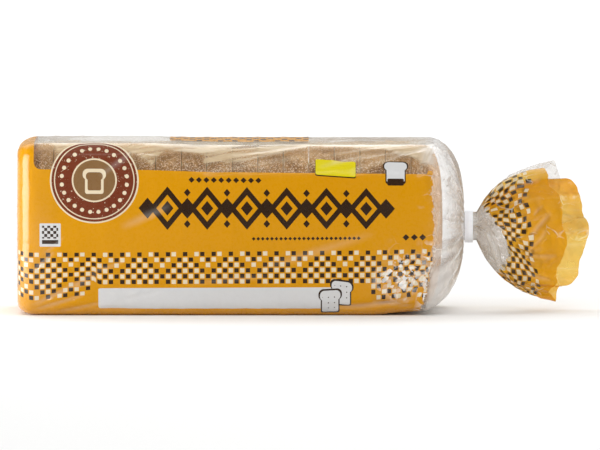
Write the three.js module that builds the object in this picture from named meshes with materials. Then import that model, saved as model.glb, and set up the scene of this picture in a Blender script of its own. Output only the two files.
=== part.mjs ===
// A sliced loaf in a printed film bag, standing on its base. The film wraps the loaf like a box,
// is gathered over the right-hand end into a neck, and flares out again past a flat twist tie.
// Millimetres. +X runs from the closed end towards the flared mouth, -Y is the front, +Z is up.
import * as THREE from "three";

// Driving dimensions of the filled bag
const LOAF_LENGTH = 229; // straight part, from the closed end to where the shoulders begin
const BAG_HALF_DEPTH = 53;
const BAG_HEIGHT = 97.5;
const SIDE_BULGE = 1;
const TOP_DOME = 1.5;
const BASE_CORNER = 9;
const TOP_CORNER = 10;
const CLOSED_END_ROUNDING = 8;
const SHOULDER_REACH = 21.3; // how far the gathered end bulges past the straight part
const SHOULDER_FULLNESS = 2.2; // exponent of the bulge: 2 is an ellipse
const TOE_LIFT = 2; // the film under the tied end is drawn up and back by these
const TOE_SETBACK = 5;
const TOE_START = 35; // how far before the shoulders that begins
const NECK_HEIGHT = 47.3; // height of the neck's middle above the base

// The neck and the tie round it
const NECK_HALF_HEIGHT = 8.1;
const NECK_HALF_DEPTH = 3;
const NECK_LENGTH = 7.3;
const TIE_WIDTH = 4.7;
const TIE_THICKNESS = 0.8;
const TIE_GAP = 0.4;
const TIE_TAB_LENGTH = 7;
const TIE_START = 0.5; // from the end of the shoulders

// The flared tail, measured from the end of the neck
const TAIL_UP = 28; // how much higher and lower than the neck it grows
const TAIL_DOWN = 33;
const TAIL_GROWTH = 15; // length over which it opens out
const TAIL_FRONT_DEPTH = 14;
const TAIL_BACK_DEPTH = 20;
const MOUTH_REACH_TOP = 53; // from the neck to the film's edge
const MOUTH_REACH_BASE = 59;
const MOUTH_LIP = 6.7; // the back of the mouth stands further out than the front by twice this
const SCALLOP_DEPTH = 1.1;
const SCALLOPS = 9;
const SCALLOP_PHASE = 0.6;
const FRONT_RUFFLE = 2;
const BACK_RUFFLE = 5;
const RUFFLES = [
  { lobes: 9, share: 0.62, phase: 0.8 },
  { lobes: 14, share: 0.38, phase: 2 },
];
const TAIL_WALL = 2.6; // a bunch of folded film, so thicker than one sheet
const HOLLOW_FLOOR = 0.44; // share of the tail's length where the mouth's hollow ends

// Pleats and mesh
const PLEATS = 22;
const PLEAT_DEPTH = 1.7;
const AROUND = 88; // points round the bag
const END_RINGS = [0.25, 0.55, 0.85];
const ROUNDING_STEPS = 4;
const LOAF_STEPS = 8;
const SHOULDER_STEPS = 11;
const TAIL_STEPS = 12;
const HOLLOW_STEPS = 5;

const TURN = 2 * Math.PI;
const SHOULDER_END = LOAF_LENGTH + SHOULDER_REACH;
const TAIL_START = SHOULDER_END + NECK_LENGTH;
const { lerp, smoothstep } = THREE.MathUtils;

// A point of the loaf's cross-section, at a share of the way round from the middle of the base, by
// way of the front. The back mirrors the front.
function loafSection(share) {
  const wallHeight = BAG_HEIGHT - TOP_DOME;
  const runs = [
    BAG_HALF_DEPTH - BASE_CORNER,
    (BASE_CORNER * Math.PI) / 2,
    wallHeight - BASE_CORNER - TOP_CORNER,
    (TOP_CORNER * Math.PI) / 2,
    BAG_HALF_DEPTH - TOP_CORNER,
  ];
  const half = runs.reduce((sum, run) => sum + run, 0);
  const front = share <= 0.5;
  let along = (front ? share : 1 - share) * 2 * half;
  let run = 0;
  while (run < runs.length - 1 && along > runs[run]) {
    along -= runs[run];
    run += 1;
  }

  let y = along;
  let z = 0;
  if (run === 1) {
    y = BAG_HALF_DEPTH - BASE_CORNER + BASE_CORNER * Math.sin(along / BASE_CORNER);
    z = BASE_CORNER - BASE_CORNER * Math.cos(along / BASE_CORNER);
  } else if (run === 2) {
    y = BAG_HALF_DEPTH;
    z = BASE_CORNER + along;
  } else if (run === 3) {
    y = BAG_HALF_DEPTH - TOP_CORNER + TOP_CORNER * Math.cos(along / TOP_CORNER);
    z = wallHeight - TOP_CORNER + TOP_CORNER * Math.sin(along / TOP_CORNER);
  } else if (run === 4) {
    y = BAG_HALF_DEPTH - TOP_CORNER - along;
    z = wallHeight;
  }
  const overShoulder = Math.max(0, z - (wallHeight - TOP_CORNER)) / TOP_CORNER;
  const dome = TOP_DOME * overShoulder * (1 - (y / BAG_HALF_DEPTH) ** 2);
  const bulge = (SIDE_BULGE * Math.sin((Math.PI * z) / wallHeight) * y) / BAG_HALF_DEPTH;
  return { y: (front ? -1 : 1) * (y + bulge), z: z + dome };
}

// The pull of the tie on the film below it, which draws the last of the underside up and back.
function toe(x, y, z) {
  const near = smoothstep(x, LOAF_LENGTH - TOE_START, LOAF_LENGTH);
  const below = Math.max(0, 1 - z / NECK_HEIGHT);
  return [x - near * TOE_SETBACK * below ** 2, y, z + near * TOE_LIFT * below];
}

// The loaf's cross-section drawn in by an inset, or shrunk towards its middle by a factor.
function loafRing(x, inset, shrink = 1) {
  const middle = BAG_HEIGHT / 2;
  const acrossScale = (shrink * (BAG_HALF_DEPTH - inset)) / BAG_HALF_DEPTH;
  const upScale = (shrink * (middle - inset)) / middle;
  return ring((share) => {
    const { y, z } = loafSection(share);
    return toe(x, y * acrossScale, middle + (z - middle) * upScale);
  });
}

function ring(pointAt) {
  return Array.from({ length: AROUND }, (_, i) => new THREE.Vector3(...pointAt(i / AROUND)));
}

function neckSection(share) {
  return {
    y: -NECK_HALF_DEPTH * Math.sin(TURN * share),
    z: NECK_HEIGHT - NECK_HALF_HEIGHT * Math.cos(TURN * share),
  };
}

// One station of the gathered end: the loaf's outline draws in to the neck, with radial pleats.
function shoulderRing(progress) {
  const angle = (progress * Math.PI) / 2;
  const open = Math.cos(angle) ** (2 / SHOULDER_FULLNESS);
  const out = Math.sin(angle) ** (2 / SHOULDER_FULLNESS);
  const depth = PLEAT_DEPTH * Math.sin(Math.PI * progress) ** 2;
  return ring((share) => {
    const loaf = loafSection(share);
    const neck = neckSection(share);
    const fold = depth * Math.cos(TURN * PLEATS * share);
    const x = LOAF_LENGTH + SHOULDER_REACH * out - Math.abs(fold) + fold / 2;
    return toe(x, lerp(neck.y, loaf.y, open), lerp(neck.z, loaf.z, open));
  });
}

function neckRing(x) {
  return ring((share) => {
    const { y, z } = neckSection(share);
    return [x, y, z];
  });
}

// How far out from the neck the film's edge lies, round the mouth.
function mouthDistance(turn) {
  const up = -Math.cos(turn);
  const front = Math.sin(turn);
  const reach = lerp(MOUTH_REACH_BASE, MOUTH_REACH_TOP, (up + 1) / 2) - MOUTH_LIP * front;
  const rim = up > 0 ? NECK_HALF_HEIGHT + TAIL_UP : NECK_HALF_HEIGHT + TAIL_DOWN;
  const scallop = SCALLOP_DEPTH * Math.cos(SCALLOPS * turn + SCALLOP_PHASE);
  return Math.sqrt(Math.max(1, reach ** 2 - (up * rim) ** 2)) + scallop;
}

// The ruffle that the gathered film keeps: slack folds at the back, gentle ones at the front.
function ruffle(turn) {
  const depth = lerp(BACK_RUFFLE, FRONT_RUFFLE, smoothstep(Math.sin(turn), -0.5, 0.5));
  const waves = RUFFLES.map(({ lobes, share, phase }) => share * Math.cos(lobes * turn + phase));
  return depth * waves.reduce((sum, wave) => sum + wave, 0);
}

// One station of the tail, from the neck (0) to the film's edge (1), drawn in by the wall or not.
function tailRing(progress, wall) {
  return ring((share) => {
    const turn = TURN * share;
    const up = -Math.cos(turn);
    const front = Math.sin(turn);
    const out = progress * mouthDistance(turn);
    const opened = 1 - Math.exp(-out / TAIL_GROWTH);
    const height = NECK_HALF_HEIGHT + opened * (up > 0 ? TAIL_UP : TAIL_DOWN);
    const depth = NECK_HALF_DEPTH + opened * (front > 0 ? TAIL_FRONT_DEPTH : TAIL_BACK_DEPTH);
    const outward = new THREE.Vector2(front / depth, up / height).normalize();
    const push = ruffle(turn) * opened ** 2 * progress - wall;
    return [
      TAIL_START + out,
      -(front * depth + outward.x * push),
      NECK_HEIGHT + up * height + outward.y * push,
    ];
  });
}

// Joins rings into one closed skin, with a fan of triangles to a point at each end.
function skin(rings) {
  const middle = (points) =>
    points.reduce((sum, p) => sum.add(p), new THREE.Vector3()).divideScalar(points.length);
  const first = middle(rings[0]);
  const last = middle(rings.at(-1));
  const positions = [...rings.flat(), first, last].flatMap((p) => p.toArray());
  const firstIndex = rings.length * AROUND;
  const lastIndex = firstIndex + 1;
  const at = (row, i) => row * AROUND + (i % AROUND);

  const triangles = [];
  for (let i = 0; i < AROUND; i++) {
    triangles.push(firstIndex, at(0, i), at(0, i + 1));
    for (let row = 0; row < rings.length - 1; row++) {
      triangles.push(at(row, i), at(row + 1, i), at(row + 1, i + 1));
      triangles.push(at(row, i), at(row + 1, i + 1), at(row, i + 1));
    }
    triangles.push(lastIndex, at(rings.length - 1, i + 1), at(rings.length - 1, i));
  }
  const geometry = new THREE.BufferGeometry();
  geometry.setAttribute("position", new THREE.Float32BufferAttribute(positions, 3));
  geometry.setIndex(triangles);
  geometry.computeVertexNormals();
  return geometry;
}

// Evenly spaced shares from just after 0 up to 1.
const steps = (count) => Array.from({ length: count }, (_, i) => (i + 1) / count);

function bagGeometry() {
  const endPanel = END_RINGS.map((shrink) => loafRing(0, CLOSED_END_ROUNDING, shrink));
  const rounding = [0, ...steps(ROUNDING_STEPS)].map((share) => {
    const angle = (share * Math.PI) / 2;
    const inset = CLOSED_END_ROUNDING * (1 - Math.sin(angle));
    return loafRing(CLOSED_END_ROUNDING * (1 - Math.cos(angle)), inset);
  });
  const loaf = steps(LOAF_STEPS).map((share) =>
    loafRing(lerp(CLOSED_END_ROUNDING, LOAF_LENGTH, share), 0),
  );
  const shoulders = steps(SHOULDER_STEPS).map(shoulderRing);
  const neck = [neckRing(SHOULDER_END + NECK_LENGTH / 2), neckRing(TAIL_START)];
  const tail = steps(TAIL_STEPS).map((share) => tailRing(share, 0));
  const hollow = [0, ...steps(HOLLOW_STEPS)].map((share) =>
    tailRing(lerp(1, HOLLOW_FLOOR, share), TAIL_WALL),
  );
  return skin([...endPanel, ...rounding, ...loaf, ...shoulders, ...neck, ...tail, ...hollow]);
}

// The tie: a flat strip bent round the neck, its two ends pressed together into a tab at the back.
function tieGeometry() {
  const innerDepth = NECK_HALF_DEPTH + TIE_GAP;
  const innerHeight = NECK_HALF_HEIGHT + TIE_GAP;
  const outerDepth = innerDepth + TIE_THICKNESS;
  const outerHeight = innerHeight + TIE_THICKNESS;
  const tabAngle = Math.asin(TIE_THICKNESS / outerHeight);
  const outline = new THREE.Shape();
  outline.absellipse(0, 0, outerDepth, outerHeight, tabAngle, TURN - tabAngle, false);
  outline.lineTo(outerDepth + TIE_TAB_LENGTH, -TIE_THICKNESS);
  outline.lineTo(outerDepth + TIE_TAB_LENGTH, TIE_THICKNESS);
  outline.closePath();
  const hole = new THREE.Path();
  hole.absellipse(0, 0, innerDepth, innerHeight, 0, TURN, true);
  outline.holes.push(hole);
  const geometry = new THREE.ExtrudeGeometry(outline, {
    depth: TIE_WIDTH,
    bevelEnabled: false,
    curveSegments: 32,
  });
  const axes = new THREE.Matrix4().makeBasis(
    new THREE.Vector3(0, 1, 0),
    new THREE.Vector3(0, 0, 1),
    new THREE.Vector3(1, 0, 0),
  );
  return geometry.applyMatrix4(axes);
}

const film = new THREE.MeshStandardMaterial({ color: "#dd9a10", roughness: 0.3, metalness: 0 });
const plastic = new THREE.MeshStandardMaterial({ color: "#e4e6e8", roughness: 0.45, metalness: 0 });

const bag = new THREE.Mesh(bagGeometry(), film);
bag.name = "bag";

const tie = new THREE.Mesh(tieGeometry(), plastic);
tie.name = "twist_tie";
tie.position.set(SHOULDER_END + TIE_START, 0, NECK_HEIGHT);

// The origin is the middle of the whole thing's footprint, on the surface that it stands on.
const loafInBag = new THREE.Group();
loafInBag.add(bag, tie);
const reach = new THREE.Box3().setFromObject(loafInBag);
loafInBag.position.set(-(reach.min.x + reach.max.x) / 2, -(reach.min.y + reach.max.y) / 2, 0);

export default loafInBag;
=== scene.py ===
"""A sliced loaf in a printed film bag, standing on its base.

The film is wrapped round the loaf like a box, gathered over the right-hand end into a neck,
held there by a flat twist tie, and flares out past it into a ruffled tail. Sixteen slices of
bread fill it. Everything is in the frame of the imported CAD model, in metres: +X runs along the
loaf towards the tail, -Y is the front and +Z is up.
"""
import math
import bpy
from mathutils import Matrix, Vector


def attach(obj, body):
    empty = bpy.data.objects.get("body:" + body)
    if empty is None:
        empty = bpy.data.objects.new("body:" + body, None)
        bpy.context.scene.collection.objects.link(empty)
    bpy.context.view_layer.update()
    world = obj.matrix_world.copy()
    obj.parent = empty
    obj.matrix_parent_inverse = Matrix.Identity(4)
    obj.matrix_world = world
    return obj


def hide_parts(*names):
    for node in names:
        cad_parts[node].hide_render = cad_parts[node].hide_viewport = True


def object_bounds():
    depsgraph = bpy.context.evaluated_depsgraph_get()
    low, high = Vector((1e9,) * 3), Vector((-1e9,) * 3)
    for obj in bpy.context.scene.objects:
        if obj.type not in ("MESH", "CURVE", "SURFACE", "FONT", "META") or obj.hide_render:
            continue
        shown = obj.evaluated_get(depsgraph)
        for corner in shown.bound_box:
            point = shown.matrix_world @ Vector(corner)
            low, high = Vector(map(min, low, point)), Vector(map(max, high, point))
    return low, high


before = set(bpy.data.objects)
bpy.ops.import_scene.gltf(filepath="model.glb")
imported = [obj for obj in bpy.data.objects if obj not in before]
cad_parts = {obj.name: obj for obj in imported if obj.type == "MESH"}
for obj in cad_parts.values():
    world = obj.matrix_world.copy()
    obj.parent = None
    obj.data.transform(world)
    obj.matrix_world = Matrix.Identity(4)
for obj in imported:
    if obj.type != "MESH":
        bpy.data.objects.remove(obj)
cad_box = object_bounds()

from types import SimpleNamespace

import bmesh
import bpy
import numpy as np
from mathutils import Vector, noise

bl_info = {
    "name": "Sliced Loaf in a Film Bag",
    "version": (1, 0, 0),
    "blender": (4, 5, 0),
    "location": "View3D > Sidebar > Loaf",
    "description": "Builds a sliced loaf in a printed film bag that is tied at one end",
    "category": "Add Mesh",
}

MM = 0.001
TURN = 2 * math.pi
QUARTER = math.pi / 2
LEFT = cad_box[0][0]  # x of the closed end
HEIGHT = cad_box[1][2]


# Small tools


def linear(hex_colour):
    """An sRGB colour, such as "#d5910b", as linear red, green, blue and alpha."""
    shares = [int(hex_colour[i : i + 2], 16) / 255 for i in (1, 3, 5)]
    return tuple(c / 12.92 if c <= 0.04045 else ((c + 0.055) / 1.055) ** 2.4 for c in shares) + (1.0,)


def mix(a, b, share):
    return a + (b - a) * share


def smooth(value, low, high):
    """0 below low, 1 above high and an easy curve between them."""
    t = np.clip((value - low) / (high - low), 0, 1)
    return t * t * (3 - 2 * t)


def size(name, description, millimetres):
    """A length property, with its default in millimetres."""
    return bpy.props.FloatProperty(
        name=name, description=description, default=millimetres * MM, unit="LENGTH", precision=4
    )


def colour(name, description, hex_colour):
    """A colour property, with its default as an sRGB hex value."""
    return bpy.props.FloatVectorProperty(
        name=name,
        description=description,
        default=linear(hex_colour),
        size=4,
        min=0,
        max=1,
        subtype="COLOR",
    )


# Sizes and colours


class LoafBagSizes(bpy.types.PropertyGroup):
    """The film bag round the loaf, from its closed end to the neck."""

    straight_length: size("Straight length", "From the closed end to where the shoulders begin", 229)
    half_depth: size("Half depth", "Half of the front-to-back depth", 53)
    side_bulge: size("Side bulge", "How far the front and back swell at mid-height", 1)
    base_corner: size("Base corner", "Radius of the edges along the underside", 9)
    top_corner: size("Top corner", "Radius of the edges along the top near the closed end", 8)
    top_dome: size("Top dome", "How far the top swells near the closed end", 1.6)
    slack_corner: size("Slack top corner", "Radius of the top edges where the film follows the bread", 17)
    slack_dome: size("Slack top dome", "How far the top swells where the film follows the bread", 5.5)
    end_rounding: size("Closed end rounding", "Radius of the closed end's edges, seen from above", 12)
    shoulder_reach: size("Shoulder reach", "How far the gathered end bulges past the straight part", 21.3)
    toe_lift: size("Toe lift", "How far the tie draws the underside up", 2)
    toe_setback: size("Toe setback", "How far the tie draws the underside back", 5)
    toe_start: size("Toe start", "How far before the shoulders the toe begins", 35)
    neck_height: size("Neck height", "Height of the middle of the neck", 47.3)
    neck_half_height: size("Neck half height", "Half of the flat neck's height", 8.1)
    neck_half_depth: size("Neck half depth", "Half of the flat neck's thickness", 3)
    neck_length: size("Neck length", "From the shoulders to where the tail opens", 7.3)
    shoulder_fullness: bpy.props.FloatProperty(
        name="Shoulder fullness", description="Exponent of the bulge; 2 is an ellipse", default=2.2
    )


class LoafTailSizes(bpy.types.PropertyGroup):
    """The ruffled tail past the tie."""

    up: size("Rise", "How far the tail rises above the neck", 28)
    down: size("Drop", "How far the tail drops below the neck", 33)
    growth: size("Growth", "Length over which the tail opens out", 15)
    front_depth: size("Front depth", "How far the tail swells to the front", 14)
    back_depth: size("Back depth", "How far the tail swells to the back", 20)
    reach_top: size("Top reach", "From the neck to the film's edge, at the top", 53)
    reach_base: size("Base reach", "From the neck to the film's edge, at the bottom", 59)
    lip: size("Lip", "How much shorter the front is than the middle of the mouth", 6.7)
    front_ruffle: size("Front ruffle", "Depth of the folds at the front", 2)
    back_ruffle: size("Back ruffle", "Depth of the folds at the back", 5)
    scallop: size("Scallop", "How much the film's edge waves along the bag", 1.1)


class LoafPrintColours(bpy.types.PropertyGroup):
    """The inks on the film."""

    yellow: colour("Yellow", "The ground of the print", "#ce8e00")
    brown: colour("Brown", "Dark squares and ornament", "#2f1d0d")
    cream: colour("Cream", "Pale squares and rims", "#dccdb0")
    white: colour("White", "The boxes", "#cdcdcd")
    russet: colour("Russet", "The roundel's ring", "#6f331e")
    tan: colour("Tan", "The roundel's middle", "#80603d")
    lemon: colour("Lemon", "The small tag", "#d6c600")
    inner: colour("Inner side", "The yellow seen from inside the bag", "#e9a324")
    haze: colour("Haze", "The bare film's own milky tint over the bread", "#d4be98")
    crumpled: colour("Crumpled", "The milky tint of bare film that is crumpled", "#cdc7c0")
    gathered: colour("Gathered", "The tint of many layers of bare film at the neck", "#b0a18d")


class LoafBreadSizes(bpy.types.PropertyGroup):
    """The sliced loaf."""

    slices: bpy.props.IntProperty(name="Slices", description="How many slices", default=16, min=1)
    start: size("Start", "Where the first slice begins, from the closed end", 6)
    pitch: size("Pitch", "Thickness of a slice with its gap", 14.28)
    gap: size("Gap", "Space between two slices", 0.3)
    half_depth: size("Half depth", "Half of a slice's width", 50.3)
    base: size("Base", "How far the crust stands off the film below", 1.9)
    top: size("Top", "Height of the crust at the middle of the top", 94)
    base_corner: size("Base corner", "Radius of a slice's lower corners", 8)
    top_corner: size("Top corner", "Radius of a slice's upper corners", 21)
    top_dome: size("Top dome", "How far the top crust swells", 5.5)
    rim: size("Rim", "Rounding of a slice's cut edges", 0.6)
    heel_swell: size("Heel swell", "How far the loaf's ends swell", 4)
    crust_relief: size("Crust relief", "Depth of the crust's unevenness", 0.9)


class LoafTieSizes(bpy.types.PropertyGroup):
    """The flat twist tie round the neck."""

    start: size("Start", "From the end of the shoulders", 0.5)
    width: size("Width", "Width of the strip", 4.7)
    thickness: size("Thickness", "Thickness of the strip's flat wings", 0.5)
    wire: size("Wire", "How far the wire stands out along the strip's middle", 0.12)
    slack: size("Slack", "Space between the strip and the film", 0.45)
    tail: size("Ends", "Length of the twisted ends", 7)
    white: colour("White", "The strip's plastic", "#fafbff")


class LoafStageSizes(bpy.types.PropertyGroup):
    """The camera, the lights and the floor."""

    distance: bpy.props.FloatProperty(
        name="Distance", description="From the camera to the loaf", default=6.0, unit="LENGTH"
    )
    elevation: bpy.props.FloatProperty(
        name="Elevation",
        description="How far above the horizon the camera looks from",
        default=math.radians(3),
        subtype="ANGLE",
    )
    frame_width: size("Frame width", "Width of the picture at the loaf's front", 335)
    aim_x: size("Aim across", "Where the middle of the picture lies along the loaf", -2.6)
    aim_z: size("Aim up", "Where the middle of the picture lies above the floor", 50.9)
    floor: colour("Floor", "The pale floor and backdrop", "#f6f6f5")


# The film's shape


# Shares of the way round are measured on a section whose top has this dome and these corners
SHARE_DOME = 1.5 * MM
SHARE_CORNER = 10 * MM


def loaf_section(share, half_depth, height, base, top, dome, bulge):
    """The loaf's cross-section, at shares of the way round from the middle of the base.

    The way round goes by the front, over the top and down the back. The walls keep their
    places whatever the top corner's radius is; the top takes up the difference.
    """
    wall_top = height - dome
    runs = np.array(
        [half_depth - base, base * QUARTER, wall_top - base - top, top * QUARTER, half_depth - top]
    )
    walls = runs[:2].sum() + HEIGHT - SHARE_DOME - base
    half_way = walls + half_depth - (2 - QUARTER) * SHARE_CORNER
    front = share <= 0.5
    along = np.where(front, share, 1 - share) * 2 * half_way
    fixed = runs[:3].sum()
    stretch = runs[3:].sum() / (half_way - fixed)
    along = np.where(along > fixed, fixed + (along - fixed) * stretch, along)
    starts = np.concatenate([[0], np.cumsum(runs)[:-1]])
    run = np.clip(np.searchsorted(starts, along, side="right") - 1, 0, 4)
    t = along - starts[run]
    y = np.choose(
        run,
        [
            t,
            half_depth - base + base * np.sin(t / base),
            half_depth,
            half_depth - top + top * np.cos(t / top),
            half_depth - top - t,
        ],
    )
    z = np.choose(
        run,
        [
            0 * t,
            base - base * np.cos(t / base),
            base + t,
            wall_top - top + top * np.sin(t / top),
            wall_top,
        ],
    )
    over = np.clip((z - (wall_top - top)) / top, 0, 1)
    z = z + dome * over * (1 - (y / half_depth) ** 2)
    y = y + bulge * np.sin(math.pi * np.clip(z / wall_top, 0, 1)) * y / half_depth
    return np.where(front, -y, y), z


def toe(bag, x, z):
    """How far the tie's pull moves a point back and up, by its place."""
    near = smooth(x, bag.straight_length - bag.toe_start, bag.straight_length)
    below = np.clip(1 - z / bag.neck_height, 0, 1)
    return -near * bag.toe_setback * below**2, near * bag.toe_lift * below


TURNS_SLACK = (70 * MM, 110 * MM)  # where along the bag its top turns from boxy to slack


def film_section(bag, x, share):
    """The film's cross-section at x: boxy near the closed end, rounder where it follows the bread."""
    boxy, slack = (
        loaf_section(share, bag.half_depth, HEIGHT, bag.base_corner, corner, dome, bag.side_bulge)
        for corner, dome in ((bag.top_corner, bag.top_dome), (bag.slack_corner, bag.slack_dome))
    )
    follow = smooth(x, *TURNS_SLACK)
    return mix(boxy[0], slack[0], follow), mix(boxy[1], slack[1], follow)


def mouth_distance(bag, tail, turn):
    """How far out from the neck the film's edge lies, round the mouth."""
    up = -np.cos(turn)
    front = np.sin(turn)
    reach = mix(tail.reach_base, tail.reach_top, (up + 1) / 2) - tail.lip * front
    rim = bag.neck_half_height + np.where(up > 0, tail.up, tail.down)
    edge = np.sqrt(np.maximum(MM**2, reach**2 - (up * rim) ** 2))
    fine = 0.35 * np.cos(17 * turn + 1) + 0.12 * np.cos(41 * turn + 2)
    return edge + tail.scallop * (np.cos(9 * turn + 0.6) + fine)


def ruffle(tail, turn):
    """The depth of the tail's folds round the mouth: slack at the back, gentle at the front."""
    depth = mix(tail.back_ruffle, tail.front_ruffle, smooth(np.sin(turn), -0.5, 0.5))
    return depth * (0.62 * np.cos(9 * turn + 0.8) + 0.38 * np.cos(14 * turn + 2))


def tail_points(bag, tail, progress, turn):
    """The tail from the neck (progress 0) to the film's edge (1)."""
    up = -np.cos(turn)
    front = np.sin(turn)
    out = progress * mouth_distance(bag, tail, turn)
    opened = 1 - np.exp(-out / tail.growth)
    height = bag.neck_half_height + opened * np.where(up > 0, tail.up, tail.down)
    depth = bag.neck_half_depth + opened * np.where(front > 0, tail.front_depth, tail.back_depth)
    away = np.stack([front / depth, up / height])
    away = away / np.linalg.norm(away, axis=0)
    push = ruffle(tail, turn) * opened**2 * progress
    pleats = 0.55 * MM * np.abs(np.cos(17 * turn + 3 * np.sin(3 * turn)))
    push = push + pleats * np.exp(-out / (22 * MM)) * opened * 2.2
    x = bag.straight_length + bag.shoulder_reach + bag.neck_length + out
    return x, -(front * depth + away[0] * push), bag.neck_height + up * height + away[1] * push


END_PANEL = 48 * MM  # film folded over the closed end, from its edge to the middle
SHOULDER_FILM = 62 * MM  # film gathered over the shoulders
TAIL_FILM = 62 * MM
FILM_ROWS = np.array([18, 8, 140, 62, 6, 70])  # rows of mesh in each zone along the film
AROUND = 300  # faces round the film


def film_zones(bag):
    """Film lengths at the ends of the zones: end panel, rounding, straight, shoulders, neck, tail."""
    rounding = bag.end_rounding * QUARTER
    straight = rounding + bag.straight_length - bag.end_rounding
    shoulders = straight + SHOULDER_FILM
    neck = shoulders + bag.neck_length
    return np.array([-END_PANEL, 0, rounding, straight, shoulders, neck, neck + TAIL_FILM])


def film_points(bag, tail, length, share):
    """Places on the smooth film, before its wrinkles, by film length and share of the way round."""
    zones = film_zones(bag)
    progress = [
        np.clip((length - zones[i]) / (zones[i + 1] - zones[i]), 0, 1) for i in range(len(FILM_ROWS))
    ]
    end, rounding, straight, shoulders, neck, mouth = progress
    angle = rounding * QUARTER
    inset = bag.end_rounding * (1 - np.sin(angle))
    x = bag.end_rounding * (1 - np.cos(angle)) + straight * (bag.straight_length - bag.end_rounding)
    y, z = film_section(bag, x, share)
    middle = HEIGHT / 2
    y = y * end * (bag.half_depth - inset) / bag.half_depth
    z = middle + (z - middle) * end * (middle - 0.5 * inset) / middle

    turn = TURN * share
    angle = shoulders * QUARTER
    opened = np.cos(angle) ** (2 / bag.shoulder_fullness)
    out = np.sin(angle) ** (2 / bag.shoulder_fullness)
    y = mix(-bag.neck_half_depth * np.sin(turn), y, opened)
    z = mix(bag.neck_height - bag.neck_half_height * np.cos(turn), z, opened)
    x = x + bag.shoulder_reach * out + neck * bag.neck_length
    back, lift = toe(bag, np.minimum(x, bag.straight_length), z)
    x = x + back
    z = z + lift

    past = length > zones[5]
    tail_place = tail_points(bag, tail, mouth, turn)
    x, y, z = (np.where(past, there, here) for there, here in zip(tail_place, (x, y, z)))
    return np.stack([x + LEFT, y, z], axis=-1)


def surface_normals(points):
    """Outward normals of a grid of points, rows along the bag and columns round it."""
    along = np.gradient(points, axis=0)
    ring = points[:, :-1]
    around = np.roll(ring, -1, axis=1) - np.roll(ring, 1, axis=1)
    around = np.concatenate([around, around[:, :1]], axis=1)
    normals = np.cross(around, along)
    return normals / np.maximum(np.linalg.norm(normals, axis=-1, keepdims=True), 1e-12)


# The film's wrinkles. A fold is its start, its end, its width and its height, all in millimetres.
# Its start and end are print places: the length along the film and the height on the wall.

WINDOW_FOLDS = [
    ((46, 78), (70, 96), 2.2, 1.0),
    ((104, 80), (168, 94), 2.6, 1.3),
    ((118, 92), (164, 103), 2.4, 1.1),
    ((128, 82), (150, 84), 2.0, 0.7),
    ((168, 84), (206, 96), 2.4, 1.2),
    ((186, 80), (236, 104), 2.8, 1.5),
    ((196, 92), (232, 98), 1.8, 1.0),
    ((224, 78), (230, 100), 2.2, 1.3),
]
FRONT_FOLDS = [
    ((9, 25), (20, 35), 1.3, 2.4),
    ((15, 34), (26, 44), 1.2, 1.2),
    ((9, 6), (46, 24), 1.8, 1.6),
    ((24, 14), (42, 19), 1.2, -1.2),
    ((40, 24), (60, 30), 1.8, 0.9),
    ((55, 7), (84, 15), 1.6, 0.7),
    ((58, 49), (86, 62), 3.4, 1.0),
    ((212, 26), (226, 34), 1.2, 1.4),
    ((214, 18), (233, 26), 1.0, 1.6),
    ((206, 22), (222, 17), 1.1, 1.4),
    ((222, 36), (236, 24), 1.2, 1.6),
    ((176, 4), (226, 8), 2.0, 1.9),
    ((198, 8), (226, 3), 1.4, 1.5),
    ((228, 14), (244, 34), 1.4, 1.4),
    ((238, 40), (246, 74), 1.6, 1.2),
    ((136, 26), (200, 46), 4.0, 0.7),
    ((96, 18), (140, 22), 2.6, 0.6),
    ((10, 3), (38, 12), 1.6, 1.5),
    ((22, 1), (50, 8), 1.3, 1.3),
    ((44, 4), (70, 3), 1.2, 0.9),
]
# Places on the tail are by length past the neck and by print millimetres round from the middle
TAIL_FOLDS = [
    ((35, -92), (42, -88), 1.6, 1.0),
    ((32, -103), (47, -91), 2.2, 1.8),
    ((33, -110), (43, -99), 2.0, 1.4),
    ((32, -126), (50, -127), 1.8, 1.3),
    ((34, -133), (49, -130), 1.4, 1.0),
    ((30, -116), (50, -114), 2.4, 1.2),
    ((7, -98), (17, -128), 1.5, 1.3),
    ((5, -104), (15, -133), 1.4, -1.1),
    ((10, -94), (24, -102), 1.3, 1.0),
    ((24, -76), (48, -73), 2.0, 1.4),
    ((20, -86), (36, -82), 1.6, 1.0),
    ((12, -134), (40, -142), 1.8, 1.4),
    ((34, 84), (56, 88), 2.6, -1.6),
    ((30, 104), (57, 101), 2.6, 1.6),
    ((30, 122), (58, 126), 2.4, -1.6),
    ((36, 138), (56, 141), 2.2, 1.4),
    ((26, 92), (60, 84), 0.9, 1.6),
    ((26, 99), (60, 90), 0.9, 1.6),
    ((24, 116), (60, 114), 1.0, 1.8),
    ((38, 114), (48, 92), 0.9, 1.2),
    ((30, 130), (44, 118), 0.9, 1.6),
    ((40, 134), (58, 128), 1.0, 1.4),
    ((30, 146), (52, 138), 1.0, 1.6),
]

# Pale bands where the slack film stands off the bread, part haze and part painted highlight, in print
# places: start, end, width, strength
HAZE_AND_HIGHLIGHT_BANDS = [
    ((118, 86), (156, 97), 2.0, 0.7),
    ((122, 98), (160, 101), 1.6, 0.6),
    ((84, 94), (112, 96), 2.4, 0.7),
    ((66, 92), (77, 84), 1.2, 0.6),
    ((166, 90), (222, 104), 1.4, 0.8),
    ((188, 88), (214, 96), 1.2, 0.7),
    ((205, 98), (224, 91), 1.4, 0.9),
    ((206, 104), (250, 110), 3.0, 1.1),
    ((170, 101), (226, 106), 2.2, 0.9),
    ((228, 84), (236, 100), 2.0, 0.7),
    ((175, 87), (196, 93), 0.9, 0.8),
]

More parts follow.
